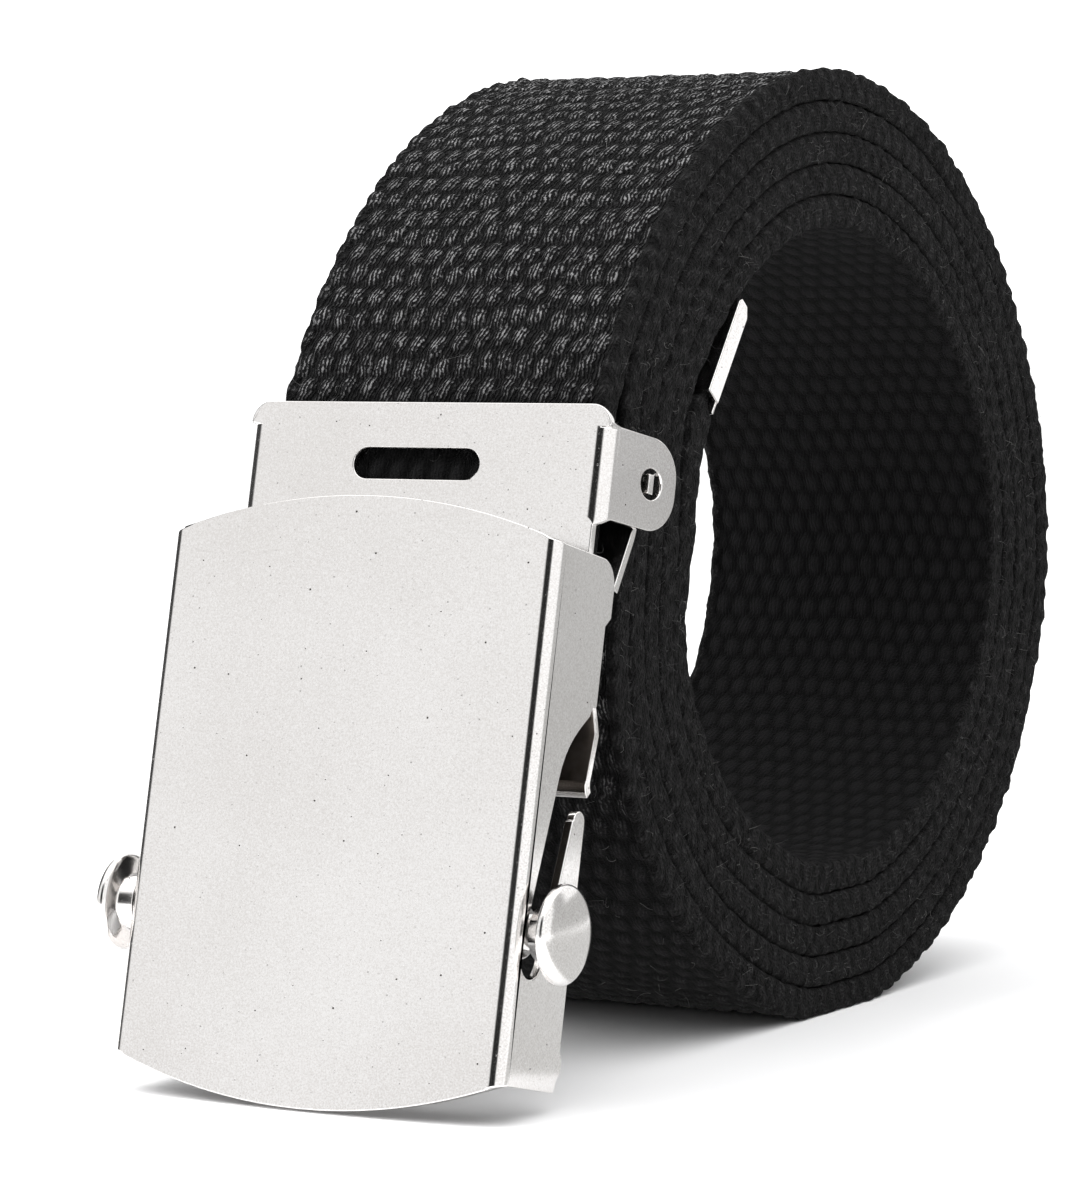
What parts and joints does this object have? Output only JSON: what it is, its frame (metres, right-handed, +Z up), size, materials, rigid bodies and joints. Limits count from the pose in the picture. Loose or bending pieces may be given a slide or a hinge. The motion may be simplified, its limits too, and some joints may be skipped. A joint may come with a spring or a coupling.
{
  "type": "canvas web belt",
  "caption": "Black cotton web belt rolled into a standing coil, with a nickel-plated closed-face roller buckle and a metal tip cap on the web's free end.",
  "frame": {"origin": "on the floor, in the middle of the flat where the roll of web rests", "axes": "+X across the web towards the wearer's left side of the buckle as seen from the front, -Y the way the buckle's face looks, +Z up"},
  "size_m": [0.0452, 0.1211, 0.0882],
  "materials": {
    "web": "coarse woven cotton, matt black",
    "nickel": "bright nickel plating with fine pits and scratches"
  },
  "bodies": {
    "belt": {"web_strap": "web", "tip_cap": "nickel", "buckle_cover": "nickel", "back_plate": "nickel"},
    "roller": {"roller_bar": "nickel", "button_right": "nickel", "button_left": "nickel"},
    "clamp": {"clamp_flap": "nickel"}
  },
  "joints": [
    {"name": "roller_slide", "type": "slide", "parent": "belt", "child": "roller", "axis": [0, 0.4266, 0.9045], "range_m": [0, 0.01]},
    {"name": "clamp_hinge", "type": "hinge", "parent": "belt", "child": "clamp", "pos_m": [0, -0.04546, 0.05113], "axis": [1, 0, 0], "range_deg": [0, 8]}
  ]
}
